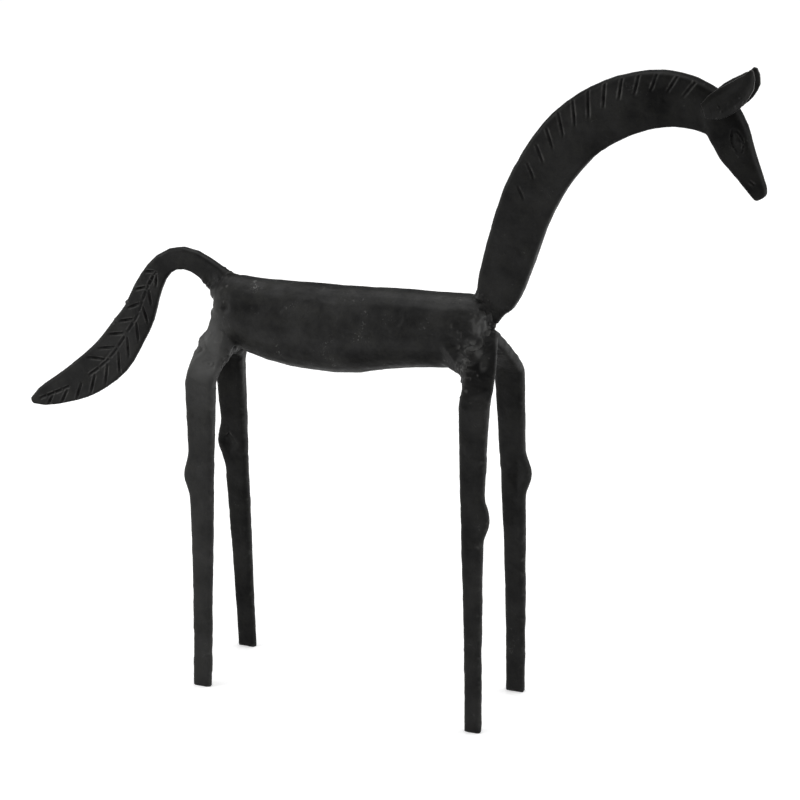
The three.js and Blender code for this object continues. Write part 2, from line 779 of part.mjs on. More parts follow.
const pieces = [
  ["body", buildBody(), blackIron],
  ["neck_and_head", cutFace(cutMane(neckAndHeadForm(0))), blackIron],
  ["ear_left", buildEar(1), hammeredIron],
  ["ear_right", buildEar(-1), hammeredIron],
  ["tail", cutTail(tailForm(0)), hammeredIron],
  ["fore_legs", cutKnees(legBar(foreBar, 0), foreBar), blackIron],
  ["hind_legs", cutKnees(legBar(hindBar, 0), hindBar), blackIron],
];

const horse = new THREE.Group();
pieces.forEach(([name, solid, finish]) => {
  const mesh = new THREE.Mesh(geometryOf(solid), new THREE.MeshStandardMaterial(finish));
  mesh.name = name;
  horse.add(mesh);
});

const box = new THREE.Box3().setFromObject(horse);
const middle = box.getCenter(new THREE.Vector3());
horse.position.set(-middle.x, -middle.y, -box.min.z);

export default horse;
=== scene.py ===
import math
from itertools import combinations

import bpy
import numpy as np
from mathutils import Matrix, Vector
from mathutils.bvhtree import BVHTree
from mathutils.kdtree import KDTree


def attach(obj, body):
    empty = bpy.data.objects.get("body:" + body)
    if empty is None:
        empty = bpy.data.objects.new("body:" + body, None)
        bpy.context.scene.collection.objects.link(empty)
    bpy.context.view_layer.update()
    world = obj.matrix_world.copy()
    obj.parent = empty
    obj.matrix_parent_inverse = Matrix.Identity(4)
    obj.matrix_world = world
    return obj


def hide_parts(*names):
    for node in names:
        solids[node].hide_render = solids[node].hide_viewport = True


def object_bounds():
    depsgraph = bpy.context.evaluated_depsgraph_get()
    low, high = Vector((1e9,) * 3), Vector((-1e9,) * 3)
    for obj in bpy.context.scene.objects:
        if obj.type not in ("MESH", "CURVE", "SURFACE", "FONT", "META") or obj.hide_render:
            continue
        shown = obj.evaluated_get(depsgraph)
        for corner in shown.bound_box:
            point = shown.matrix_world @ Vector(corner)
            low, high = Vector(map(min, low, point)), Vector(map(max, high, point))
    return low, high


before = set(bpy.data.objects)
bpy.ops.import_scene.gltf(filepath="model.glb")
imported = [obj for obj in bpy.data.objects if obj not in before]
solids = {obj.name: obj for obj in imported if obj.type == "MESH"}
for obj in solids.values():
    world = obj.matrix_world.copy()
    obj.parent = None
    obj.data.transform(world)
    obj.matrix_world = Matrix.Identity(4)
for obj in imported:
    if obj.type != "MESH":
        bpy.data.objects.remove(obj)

# Iron horse sculpture: the hammered, welded and blackened surface of the forged solids.
#
# +X to the head, +Y to the horse's left, the floor at z = 0. The meshes are worked on in
# millimetres, and the light, floor and camera are in metres. Each piece is the solid's own
# mesh made dense, worn smooth over its facets and worked with hammer marks, forge scale and
# weld metal.

MM = 0.001
cad_low, cad_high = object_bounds()

# Noise on points in millimetres.


def lattice(ix, iy, iz, seed):
    """A number from 0 to 1 for each whole-numbered cell."""
    mixed = (ix * 374761393 + iy * 668265263 + iz * 974634777 + seed * 144665317) & 0xFFFFFFFF
    mixed = ((mixed ^ (mixed >> 13)) * 1274126177) & 0xFFFFFFFF
    mixed = ((mixed ^ (mixed >> 16)) * 2246822519) & 0xFFFFFFFF
    return ((mixed ^ (mixed >> 15)) & 0xFFFFFF) / 0xFFFFFF


def noise(points, size, seed):
    """Smooth noise from -1 to 1 whose lumps are about `size` across."""
    place = points / size + 37.13
    cell = np.floor(place).astype(np.int64)
    part = place - cell
    part = part * part * part * (part * (part * 6 - 15) + 10)
    total = np.zeros(len(points))
    for dx in (0, 1):
        for dy in (0, 1):
            for dz in (0, 1):
                weight = (
                    np.abs(1 - dx - part[:, 0])
                    * np.abs(1 - dy - part[:, 1])
                    * np.abs(1 - dz - part[:, 2])
                )
                total += weight * lattice(cell[:, 0] + dx, cell[:, 1] + dy, cell[:, 2] + dz, seed)
    return 2 * total - 1


def facets(points, size, seed):
    """Flat facets about `size` across, each tilted its own way, from about -1 to 1; and how far
    each point is inside its facet, 0 on the line between two facets and 1 well inside."""
    place = points / size + 11.7
    cell = np.floor(place).astype(np.int64)
    nearest = np.full(len(points), 9.0)
    second = np.full(len(points), 9.0)
    height = np.zeros(len(points))
    for dx in (-1, 0, 1):
        for dy in (-1, 0, 1):
            for dz in (-1, 0, 1):
                ix, iy, iz = cell[:, 0] + dx, cell[:, 1] + dy, cell[:, 2] + dz
                middles = [i + lattice(ix, iy, iz, seed + k) for k, i in enumerate((ix, iy, iz))]
                offset = np.stack([place[:, k] - middles[k] for k in range(3)], axis=1)
                tilts = [2 * lattice(ix, iy, iz, seed + 5 + k) - 1 for k in range(3)]
                tilt = np.stack(tilts, axis=1)
                distance = np.sqrt((offset ** 2).sum(1))
                closer = distance < nearest
                second = np.where(closer, nearest, np.minimum(second, distance))
                height = np.where(closer, (offset * tilt).sum(1) * 1.6, height)
                nearest = np.where(closer, distance, nearest)
    return height, np.clip((second - nearest) / 0.25, 0, 1)


def step(low, high, x):
    """0 below `low`, 1 above `high` and smooth between."""
    t = np.clip((x - low) / (high - low), 0, 1)
    return t * t * (3 - 2 * t)


# Meshes.


def points_of(mesh):
    flat = np.zeros(len(mesh.vertices) * 3, np.float32)
    mesh.vertices.foreach_get("co", flat)
    return flat.reshape(-1, 3).astype(float) / MM


def move_points(mesh, points):
    mesh.vertices.foreach_set("co", (points * MM).astype(np.float32).ravel())
    mesh.update()


def normals_of(mesh):
    flat = np.zeros(len(mesh.vertices) * 3, np.float32)
    mesh.vertex_normals.foreach_get("vector", flat)
    return flat.reshape(-1, 3).astype(float)


def edges_of(mesh):
    flat = np.zeros(len(mesh.edges) * 2, np.int32)
    mesh.edges.foreach_get("vertices", flat)
    return flat.reshape(-1, 2)


def blurred(values, edges, rounds):
    """Each point's values moved halfway to the mean of its neighbours', `rounds` times."""
    a, b = edges[:, 0], edges[:, 1]
    total = len(values)
    neighbours = np.maximum(np.bincount(edges.ravel(), minlength=total), 1)
    out = np.array(values, float).reshape(total, -1)
    for _ in range(rounds):
        for k in range(out.shape[1]):
            column = out[:, k]
            near = np.bincount(a, column[b], total) + np.bincount(b, column[a], total)
            out[:, k] = 0.5 * column + 0.5 * near / neighbours
    return out.reshape(np.shape(values))


def keep_attribute(mesh, name, values):
    attribute = mesh.attributes.new(name, "FLOAT", "POINT")
    attribute.data.foreach_set("value", np.clip(values, 0, 1).astype(np.float32))


def dense(mesh, name, voxel_mm):
    """The closed mesh as one skin of even quads about `voxel_mm` across."""
    holder = bpy.data.objects.new(name + "_holder", mesh)
    bpy.context.scene.collection.objects.link(holder)
    remesh = holder.modifiers.new("Remesh", "REMESH")
    remesh.mode = "VOXEL"
    remesh.voxel_size = voxel_mm * MM
    remesh.use_smooth_shade = True
    depsgraph = bpy.context.evaluated_depsgraph_get()
    made = bpy.data.meshes.new_from_object(holder.evaluated_get(depsgraph))
    bpy.data.objects.remove(holder)
    made.name = name
    return made


def joined(parts):
    """One mesh of (points in millimetres, triangles) pairs."""
    corners, faces, start = [], [], 0
    for points, triangles in parts:
        corners.append(points)
        faces.append(triangles + start)
        start += len(points)
    mesh = bpy.data.meshes.new("joined")
    mesh.from_pydata((np.concatenate(corners) * MM).tolist(), [], np.concatenate(faces).tolist())
    mesh.update()
    return mesh


def triangles_of(mesh):
    mesh.calc_loop_triangles()
    flat = np.zeros(len(mesh.loop_triangles) * 3, np.int32)
    mesh.loop_triangles.foreach_get("vertices", flat)
    return flat.reshape(-1, 3)


# A ball of weld metal with twenty faces, once, at a radius of one millimetre. The corners of a
# face are 1.05 apart, and no other two are nearer than 1.7.
FACE_CORNERS_WITHIN = 1.2
golden = (1 + math.sqrt(5)) / 2
signs = [(s, t) for s in (-1, 1) for t in (-1, 1)]
ball_points = np.array(
    [(s, t * golden, 0) for s, t in signs]
    + [(0, s, t * golden) for s, t in signs]
    + [(t * golden, 0, s) for s, t in signs]
)
ball_points /= np.linalg.norm(ball_points[0])


def spread(corners):
    """The longest side between three corners of the ball."""
    a, b, c = ball_points[list(corners)]
    return max(np.linalg.norm(a - b), np.linalg.norm(b - c), np.linalg.norm(a - c))


ball_faces = np.array([t for t in combinations(range(12), 3) if spread(t) < FACE_CORNERS_WITHIN])
for row, (i, j, k) in enumerate(ball_faces):
    a, b, c = ball_points[i], ball_points[j], ball_points[k]
    if np.cross(b - a, c - a) @ a < 0:
        ball_faces[row] = (i, k, j)


def balls(centres, radii):
    return [(ball_points * r + c, ball_faces) for c, r in zip(centres, radii)]


# Seams: the points where one solid comes out of another, thinned out to an even row.

solid_points = {name: points_of(o.data) for name, o in solids.items()}
solid_triangles = {name: triangles_of(o.data) for name, o in solids.items()}
trees = {
    name: BVHTree.FromPolygons(solid_points[name].tolist(), solid_triangles[name].tolist())
    for name in solids
}
SKIN_VOXELS_MM = {
    "body": 1.2,
    "neck_and_head": 1.0,
    "ear_left": 0.6,
    "ear_right": 0.6,
    "tail": 1.0,
    "fore_legs": 1.0,
    "hind_legs": 1.0,
}
skins = {
    name: points_of(dense(solids[name].data.copy(), name + "_skin", voxel))
    for name, voxel in SKIN_VOXELS_MM.items()
}


def seam(inner, outer, spacing, near, far):
    """Points on `outer`'s skin, between `near` and `far` from `inner`, about `spacing` apart."""
    tree = trees[inner]
    taken, row = set(), []
    for point in skins[outer]:
        found = tree.find_nearest(Vector(point), far)
        if found[0] is not None and found[3] > near:
            cell = tuple(np.floor(point / spacing).astype(int))
            if cell not in taken:
                taken.add(cell)
                row.append(point)
    return np.array(row).reshape(-1, 3)


BODY_SEAM_MM = (3.2, 0.7, 1.6)
EAR_SEAM_MM = (1.4, 0.5, 1.1)
ON_THE_BODY = ("neck_and_head", "tail", "fore_legs", "hind_legs")
EARS = ("ear_left", "ear_right")
body_seams = np.concatenate([seam("body", other, *BODY_SEAM_MM) for other in ON_THE_BODY])
ear_seams = np.concatenate([seam("neck_and_head", ear, *EAR_SEAM_MM) for ear in EARS])

seam_tree = KDTree(len(body_seams) + len(ear_seams))
for index, point in enumerate(np.concatenate([body_seams, ear_seams])):
    seam_tree.insert(point, index)
seam_tree.balance()


def seam_distance(points):
    return np.array([seam_tree.find(p)[2] for p in points])


# Chisel cuts. The strokes of the mane and the feather follow the middle lines of the neck and
# the tail. A line's stations are [x, z, half width], as the solids are drawn: x and z in
# hundredths of the height, x from the body's end, and the half width as a share of the width.

HEIGHT = 421.6
BODY_FRONT_X = 68.38
BODY_REAR_X = -106.62
NECK_WIDTH = 34.4
TAIL_WIDTH = 25.4
NECK_STATIONS = [
    (0.55, 59.2, 0.11), (0.75, 61.4, 0.265), (1.6, 63.8, 0.385), (3.1, 68.8, 0.44),
    (5.6, 76.8, 0.47), (8.7, 83.0, 0.49), (13.3, 88.8, 0.51), (19.4, 92.7, 0.505),
    (25.3, 94.4, 0.475), (29.1, 94.2, 0.435), (32.6, 93.1, 0.37),
]
TAIL_STATIONS = [
    (0.9, 59.9, 0.3), (-1.0, 61.2, 0.285), (-4.6, 62.8, 0.275), (-7.4, 62.4, 0.27),
    (-9.55, 60.55, 0.285), (-11.45, 57.1, 0.35), (-12.88, 53.3, 0.415), (-14.5, 50.65, 0.46),
    (-17.5, 46.2, 0.515), (-22.45, 41.97, 0.465), (-27.75, 39.0, 0.3), (-30.1, 37.85, 0.18),
    (-30.8, 37.5, 0.09),
]
CUT_WIDTH = 1.05
CUT_DEPTH = 0.9

MANE_STROKES = 13
MANE_FROM, MANE_TO = 0.389, 0.935  # first and last stroke, as shares of the neck's length
MANE_BUNCHING = 0.86  # below 1, the strokes stand closer towards the poll
MANE_LEAN, MANE_LEAN_GAIN = 52, 13  # degrees to the neck's run, from the first stroke to the last
MANE_STARTS = (0.55, 0.74, 0.88, 0.97, 0.97, 0.99, 0.99)  # in half widths from the middle line
MANE_LENGTHS = (0.28, 0.37, 0.46, 0.53, 0.43, 0.36, 0.4)  # in widths of the neck's bar
MANE_STRENGTHS = (0.6, 0.8, 1, 1.1, 1.1, 0.9, 0.7)

FEATHER_FROM, FEATHER_TO = 0.272, 0.966  # as shares of the tail's length
SPINE_STROKES = ((0, 0.11), (0.115, 0.36), (0.385, 0.69), (0.81, 1))
SPINE_WIDTH = 1.1
SPINE_DEPTH = 0.95
FEATHER_STROKES = ((-1, 7, 46), (1, 11, 35))  # side of the spine, how many, degrees to the spine
FEATHER_STEPS = 11  # places along the feather where a stroke may stand
FEATHER_INNER, FEATHER_OUTER = 0.12, 0.84  # a stroke's ends, in half widths from the spine

EYE = (220.9, 379.4)
EYE_TURN = -72  # degrees of the eye's long way from +X
EYE_ARCS = ((3.3, -6.2, 7.2), (-3.2, -7.4, 5.6))  # bulge, and start and end along the eye
EYE_ARC_REACH = 8.4  # how far from the eye's middle an arc would come back to its long way
EYE_CUT_WIDTH = 0.7
EYE_CUT_DEPTH = 0.4
NOSTRIL = ((228.2, 356.4), (231.9, 354.0))
NOSTRIL_WIDTH = 0.9
NOSTRIL_DEPTH = 0.7


def along_line(stations, root, width, count=600):
    """A smooth line through stations: its points, directions, half widths and shares of length."""
    share = HEIGHT / 100
    rows = np.array([(root + x * share, z * share, half * width) for x, z, half in stations])
    gaps = np.linalg.norm(np.diff(rows[:, :2], axis=0), axis=1)
    knots = np.concatenate([[0], np.cumsum(gaps ** 0.5)])
    slopes = np.gradient(rows, knots, axis=0)
    t = np.linspace(0, knots[-1], count)
    i = np.clip(np.searchsorted(knots, t, "right") - 1, 0, len(knots) - 2)
    h = (knots[i + 1] - knots[i])[:, None]
    u = ((t - knots[i]) / h[:, 0])[:, None]
    line = (
        (2 * u ** 3 - 3 * u ** 2 + 1) * rows[i]
        + (u ** 3 - 2 * u ** 2 + u) * h * slopes[i]
        + (-2 * u ** 3 + 3 * u ** 2) * rows[i + 1]
        + (u ** 3 - u ** 2) * h * slopes[i + 1]
    )
    steps = np.linalg.norm(np.diff(line[:, :2], axis=0), axis=1)
    length = np.concatenate([[0], np.cumsum(steps)])
    direction = np.gradient(line[:, :2], axis=0)
    direction /= np.linalg.norm(direction, axis=1)[:, None]
    return line[:, :2], direction, line[:, 2], length / length[-1]


def station(line, share):
    """The line at a share of its length: point, direction, crosswise direction, half width."""
    points, direction, halves, shares = line
    k = min(int(np.searchsorted(shares, share)), len(shares) - 1)
    dx, dz = direction[k]
    return points[k], np.array((dx, dz)), np.array((-dz, dx)), halves[k]


def through(values, share):
    """A value read off evenly spaced ones at a share from 0 to 1."""
    return float(np.interp(share, np.linspace(0, 1, len(values)), values))


def mane_cuts():
    """Strokes beside the crest, each [from, to, width, depth]."""
    line = along_line(NECK_STATIONS, BODY_FRONT_X, NECK_WIDTH)
    cuts = []
    for k in range(MANE_STROKES):
        row = k / (MANE_STROKES - 1)
        share = MANE_FROM + (MANE_TO - MANE_FROM) * row ** MANE_BUNCHING
        middle, run, across, half = station(line, share)
        lean = math.radians(MANE_LEAN + MANE_LEAN_GAIN * math.sqrt(row))
        start = middle + across * half * through(MANE_STARTS, row)
        length = NECK_WIDTH * through(MANE_LENGTHS, row)
        end = start - (across * math.sin(lean) + run * math.cos(lean)) * length
        cuts.append((start, end, CUT_WIDTH, CUT_DEPTH * through(MANE_STRENGTHS, row)))
    return cuts


def feather_cuts():
    """A spine of four strokes down the tail, and the cuts beside it."""
    line = along_line(TAIL_STATIONS, BODY_REAR_X, TAIL_WIDTH)
    length = FEATHER_TO - FEATHER_FROM
    cuts = []
    for start, end in SPINE_STROKES:
        points = [station(line, FEATHER_FROM + length * s)[0] for s in np.linspace(start, end, 5)]
        cuts += [(a, b, SPINE_WIDTH, SPINE_DEPTH) for a, b in zip(points, points[1:])]
    for side, count, degrees in FEATHER_STROKES:
        lean = math.radians(degrees)
        for k in range(count):
            middle, run, across, half = station(line, FEATHER_FROM + length * k / FEATHER_STEPS)
            way = side * across * math.sin(lean) + run * math.cos(lean)
            way = way * half / math.sin(lean)
            inner, outer = middle + way * FEATHER_INNER, middle + way * FEATHER_OUTER
            cuts.append((inner, outer, CUT_WIDTH, CUT_DEPTH))
    return cuts


def eye_cuts():
    """Two shallow arcs round the eye, and the nostril."""
    turn = math.radians(EYE_TURN)
    down = np.array((math.cos(turn), math.sin(turn)))
    out = np.array((-down[1], down[0]))
    cuts = []
    for bulge, start, end in EYE_ARCS:
        arc = [
            EYE + down * s + out * bulge * math.cos(math.pi / 2 * s / EYE_ARC_REACH)
            for s in np.linspace(start, end, 7)
        ]
        cuts += [(p, q, EYE_CUT_WIDTH, EYE_CUT_DEPTH) for p, q in zip(arc, arc[1:])]
    cuts.append((*np.array(NOSTRIL), NOSTRIL_WIDTH, NOSTRIL_DEPTH))
    return cuts


def cut_depth(points, cuts):
    """How deep the cuts go at each point seen along Y, with a low burr thrown up beside them."""
    flat = points[:, [0, 2]]
    depth = np.zeros(len(points))
    for start, end, width, deep in cuts:
        run = end - start
        length = np.linalg.norm(run)
        run = run / length
        offset = flat - start
        share = offset @ run / length
        aside = np.abs(offset[:, 0] * run[1] - offset[:, 1] * run[0])
        ends = step(-0.04, 0.10, share) * step(1.05, 0.72, share)
        groove = np.clip(1 - aside / width, 0, 1) * deep * ends
        burr = 0.16 * deep * np.exp(-(((aside - 1.25 * width) / (0.4 * width)) ** 2)) * ends
        depth = np.where(groove > 0, np.minimum(depth, -groove), depth)
        depth = np.where((depth >= 0) & (groove <= 0), np.maximum(depth, burr), depth)
    return depth


# Weld metal that runs out smoothly from one piece on to the next, reaching this far in
# millimetres from the seam between the body and each of its neighbours. The ears have none.
REACH = {"hind_legs": 13, "tail": 9, "fore_legs": 9, "neck_and_head": 3.5}


def fillet(node, points, normal, distance):
    """How far the weld metal lifts each point of a piece beside the seams with its neighbours.
    It fills the corner between two faces, and lifts nothing where they already run on level."""
    pairs = REACH.items() if node == "body" else [("body", REACH.get(node, 0))]
    height = np.zeros(len(points))
    for other, reach in pairs:
        if reach == 0:
            continue
        for index in np.flatnonzero(distance < 1.5 * reach):
            found = trees[other].find_nearest(Vector(points[index]), reach)
            if found[0] is not None:
                turn = min(1, max(0, 1 - Vector(normal[index]).dot(found[1])))
                height[index] = max(height[index], turn * (reach - found[3]) ** 2 / (4 * reach))
    return height


def dented(points, normal, dents):
    """Points pressed in at round dents, each [centre, radius, depth]."""
    for centre, radius, deep in dents:
        away = np.sqrt(((points - np.array(centre)) ** 2).sum(1))
        points = points - normal * (deep * step(radius, 0.15 * radius, away))[:, None]
    return points


def chipped(points, chips):
    """Points cleared out of the upright round chips in an edge, each [x, z, radius]."""
    points = points.copy()
    for x, z, radius in chips:
        offset = points[:, [0, 2]] - (x, z)
        away = np.maximum(np.sqrt((offset ** 2).sum(1)), 1e-6)
        inside = away < radius
        points[inside[:, None] & np.array([[True, False, True]])] = (
            (np.array((x, z)) + offset[inside] * (radius / away[inside])[:, None]).ravel()
        )
    return points


# Two dents at the rump, each [centre, radius, depth], and three nicks in the tail's edge.
DENTS = {"body": [((-95.3, -15.7, 242.2), 4.2, 1.0), ((-99.0, -13.5, 251.0), 4.0, 0.6)]}
CHIPS = {"tail": [(-167.7, 232.2, 1.5), (-175.7, 219.9, 1.4), (-177.4, 217.3, 0.9)]}

# Painted highlights, where the light catches the hip, the hind legs and the chest weld: [centre,
# half sizes, how pale]. The first three are the hip and the rump, the fourth is the hind legs and
# the rest are the chest.
PAINTED_HIGHLIGHTS = [
    ((-107, 21, 214), (17, 16, 22), 0.74),
    ((-108, 22, 196), (17, 16, 30), 0.3),
    ((-107, 12, 238), (6, 10, 16), 0.3),
    ((-106, 28, 100), (30, 30, 150), 0.14),
    ((64, 16, 241), (4.5, 7, 4), 0.6),
    ((69, 17, 236.5), (3, 7, 4.5), 0.5),
    ((73.5, 18, 230), (2.4, 7, 5), 0.4),
    ((67, 11, 251), (7, 9, 9), 0.6),
]


def painted_highlight(points, facing, grain):
    """How pale the painted highlight is at each point, the same on both sides of the horse and
    only on the sides that look outwards, as the inner sides lie in shade. `grain` breaks it up on
    the chest."""
    mirrored = points.copy()
    mirrored[:, 1] = np.abs(points[:, 1])
    pale = np.zeros(len(points))
    for centre, halves, strength in PAINTED_HIGHLIGHTS:
        away = np.sqrt((((mirrored - np.array(centre)) / np.array(halves)) ** 2).sum(1))
        pale = np.maximum(pale, strength * step(1.2, 0.4, away + 0.1 * noise(points, 7, 61)))
    outward = step(-0.1, 0.35, facing[:, 1] * np.sign(points[:, 1]))
    whole = 1 - 0.7 * step(0, 30, points[:, 0]) * step(0.22, 0.02, grain)
    return pale * outward * whole


# Pieces.

# How far across the marks are, in millimetres.
HAMMER_MARK_MM = 13
HAMMER_RIPPLE_MM = 6
HAMMER_FLAT_MM = 9.0
CRUMPLE_MM = 4.6
CRUMPLE_SWELL_MM = 5
FLAKE_MM = 1.7
FLAKE_GRAIN_MM = 0.9
PIT_MM = 2.6
BEAD_MM = 2.1

PIT_DEPTH = 1.8  # in depths of the forge scale
BEAD_HEIGHT_MM = 0.3
BEADS_FROM_SEAM_MM = (28, 8)  # no weld beads beyond the first, all of them within the second
WELD_FROM_SEAM_MM = (3.0, 8.0)
CHEST_X_MM = (-20, 20)  # the welds are smooth behind the first and lumpy before the second
NECK_FOOT_Z_MM = (268, 256)  # and smooth on the neck above the first


def forged(node, voxel_mm, smooth_rounds, hammer_mm, scale_mm, weld_mm, extra, cuts):
    """The piece that stands for a solid. `hammer_mm` is the depth of the hammer marks,
    `scale_mm` of the forge scale and `weld_mm` of the facets in the weld metal. `extra` is
    weld metal fused on to it, and `cuts` are its chisel cuts."""
    if extra:
        base = joined([(solid_points[node], solid_triangles[node]), *extra])
    else:
        base = solids[node].data.copy()
    mesh = dense(base, "iron_" + node, voxel_mm)
    edges = edges_of(mesh)
    raw = points_of(mesh)
    soft = blurred(raw, edges, smooth_rounds)
    move_points(mesh, soft)
    normal = normals_of(mesh)
    detail = ((raw - soft) * normal).sum(1)
    distance = seam_distance(soft)
    weld = 1 - step(*WELD_FROM_SEAM_MM, distance + 2.0 * noise(soft, 5, 41))
    front = step(*CHEST_X_MM, soft[:, 0]) * step(*NECK_FOOT_Z_MM, soft[:, 2])

    # Forms that the smoothing took off come back, and the weld metal is run out.
    kept = blurred(step(0.12, 0.32, detail), edges, 2) * (1 - 0.75 * weld)
    points = soft + (kept[:, None] * (blurred(raw, edges, 3) - soft))
    points += normal * blurred(fillet(node, points, normal, distance), edges, 6)[:, None]

    # Hammer marks.
    flats = blurred(facets(points, HAMMER_FLAT_MM, 3)[0], edges, 5)
    marks = 0.55 * noise(points, HAMMER_MARK_MM, 1) + 0.35 * noise(points, HAMMER_RIPPLE_MM, 2)
    depth = hammer_mm * (marks + 0.45 * flats)

    # Forge scale and its pits.
    flakes = 0.6 * noise(points, FLAKE_MM, 4) + 0.4 * noise(points, FLAKE_GRAIN_MM, 5)
    depth += scale_mm * flakes
    depth -= PIT_DEPTH * scale_mm * step(0.55, 0.85, noise(points, PIT_MM, 6))

    # Crumpled weld metal and the small beads thrown off beside it.
    crumple, crease = facets(points, CRUMPLE_MM, 23)
    swell = 0.8 * crumple + 0.35 * noise(points, CRUMPLE_SWELL_MM, 7)
    depth += weld * (0.3 + 0.7 * front) * weld_mm * (swell - 0.25 * (1 - crease))
    beads = step(0.80, 0.90, noise(points, BEAD_MM, 8)) * step(*BEADS_FROM_SEAM_MM, distance)
    depth += BEAD_HEIGHT_MM * beads

    on_face = step(0.55, 0.8, np.abs(normal[:, 1]))
    depth += cut_depth(points, cuts) * on_face
    points = points + normal * depth[:, None]
    points = chipped(dented(points, normal, DENTS.get(node, ())), CHIPS.get(node, ()))
    points = np.clip(points, np.array(cad_low) / MM, np.array(cad_high) / MM)
    move_points(mesh, points)

    # What the finish goes by: edges grey from wear and painted highlight, hollows, weld metal,
    # painted shade on undersides and inner faces, and painted highlights.
    facing = normals_of(mesh)
    bend = ((points - blurred(points, edges, 6)) * facing).sum(1)
    # Grey edges: partly wear, partly painted highlight.
    wear_and_highlight = blurred(step(0.03, 0.20, bend), edges, 1) * (1 - weld * (0.85 - 0.55 * front))
    # On the ears every face that looks away from the sides turns grey: a painted highlight along
    # the rims.
    if node in EARS:
        wear_and_highlight = np.maximum(wear_and_highlight, step(0.75, 0.4, np.abs(facing[:, 1])))
    keep_attribute(mesh, "edge", wear_and_highlight)
    keep_attribute(mesh, "hollow", blurred(step(0.02, 0.20, -bend), edges, 1))
    keep_attribute(mesh, "weld", weld)
    # Painted shade: faces that look down reflect less, and on the hind legs so do the inner faces,
    # most near the top under the body.
    painted_shade = step(0.05, 0.5, -facing[:, 2])
    if node == "hind_legs":
        inner = step(0.2, 0.7, -facing[:, 1] * np.sign(points[:, 1]))
        painted_shade = np.maximum(painted_shade, inner * (0.35 + 0.65 * step(150, 205, points[:, 2])))
    keep_attribute(mesh, "painted_shade", blurred(painted_shade, edges, 3))
    # Painted highlights on the hip, the hind legs and the chest weld.
    keep_attribute(mesh, "painted_highlight", blurred(painted_highlight(points, facing, crumple), edges, 1))
    mesh.polygons.foreach_set("use_smooth", np.ones(len(mesh.polygons), bool))

    piece = bpy.data.objects.new("iron_" + node, mesh)
    bpy.context.scene.collection.objects.link(piece)
    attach(piece, "root")
    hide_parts(node)
    return piece


# The balls of weld metal are about twice as large at the chest as at the rump.
lumpy = step(*CHEST_X_MM, body_seams[:, 0]) * step(266, 254, body_seams[:, 2])
weld_radii = 1.0 + 1.0 * lumpy + (0.3 + 0.3 * lumpy) * noise(body_seams, 7, 51)
ear_radii = 1.0 + 0.35 * noise(ear_seams, 4, 52)
WELD_METAL = {
    "body": balls(body_seams, weld_radii),
    "neck_and_head": balls(ear_seams, ear_radii),
}
CUTS = {
    "neck_and_head": mane_cuts() + eye_cuts(),
    "tail": feather_cuts(),
}

# Each piece's voxel, rounds of smoothing, and depths of hammer marks, scale and weld facets.
SURFACE = {
    "body": (0.66, 23, 0.30, 0.05, 0.65),
    "neck_and_head": (0.52, 13, 0.22, 0.035, 0.4),
    "ear_left": (0.30, 5, 0.10, 0.03, 0.25),
    "ear_right": (0.30, 5, 0.10, 0.03, 0.25),
    "tail": (0.38, 12, 0.13, 0.035, 0.4),
    "fore_legs": (0.58, 9, 0.32, 0.045, 0.4),
    "hind_legs": (0.58, 9, 0.32, 0.045, 0.4),
}
horse = {
    node: forged(node, *SURFACE[node], WELD_METAL.get(node, ()), CUTS.get(node, ()))
    for node in SURFACE
}

# Finish.


def link(tree, out, into):
    tree.links.new(out, into)


def node_of(tree, kind, **settings):
    made = tree.nodes.new(kind)
    for key, value in settings.items():
        setattr(made, key, value)
    return made


def ramp(tree, source, low, high, start, end):
    made = node_of(tree, "ShaderNodeMapRange", clamp=True)
    made.inputs["From Min"].default_value = low
    made.inputs["From Max"].default_value = high
    made.inputs["To Min"].default_value = start
    made.inputs["To Max"].default_value = end
    link(tree, source, made.inputs["Value"])
    return made.outputs["Result"]


def maths(tree, operation, a, b):
    made = node_of(tree, "ShaderNodeMath", operation=operation)
    for socket, value in zip(made.inputs, (a, b)):
        if isinstance(value, (int, float)):
            socket.default_value = value
        else:
            link(tree, value, socket)
    return made.outputs[0]


def mixed(tree, share, a, b):
    made = node_of(tree, "ShaderNodeMix", data_type="RGBA")
    colours = [s for s in made.inputs if s.type == "RGBA"]
    link(tree, share, made.inputs[0])
    for socket, value in zip(colours, (a, b)):
        if isinstance(value, tuple):
            socket.default_value = (*value, 1)
        else:
            link(tree, value, socket)
    return next(s for s in made.outputs if s.type == "RGBA")


def noise_node(tree, place, scale, detail, roughness, distortion=0.0):
    made = node_of(tree, "ShaderNodeTexNoise")
    made.inputs["Scale"].default_value = scale
    made.inputs["Detail"].default_value = detail
    made.inputs["Roughness"].default_value = roughness
    made.inputs["Distortion"].default_value = distortion
    link(tree, place, made.inputs["Vector"])
    return made.outputs["Fac"]


COAL = (0.0008, 0.0008, 0.0008)
SLATE = (0.0112, 0.0111, 0.0107)
OLIVE = (0.0140, 0.0138, 0.0118)
SOOT = (0.0020, 0.0020, 0.0019)
FLECK = (0.15, 0.15, 0.145)
WELD_GREY = (0.0120, 0.0119, 0.0114)
PAINTED_HIGHLIGHT_GREY = (0.088, 0.088, 0.086)
WEAR_AND_HIGHLIGHT_GREY = (0.085, 0.084, 0.081)


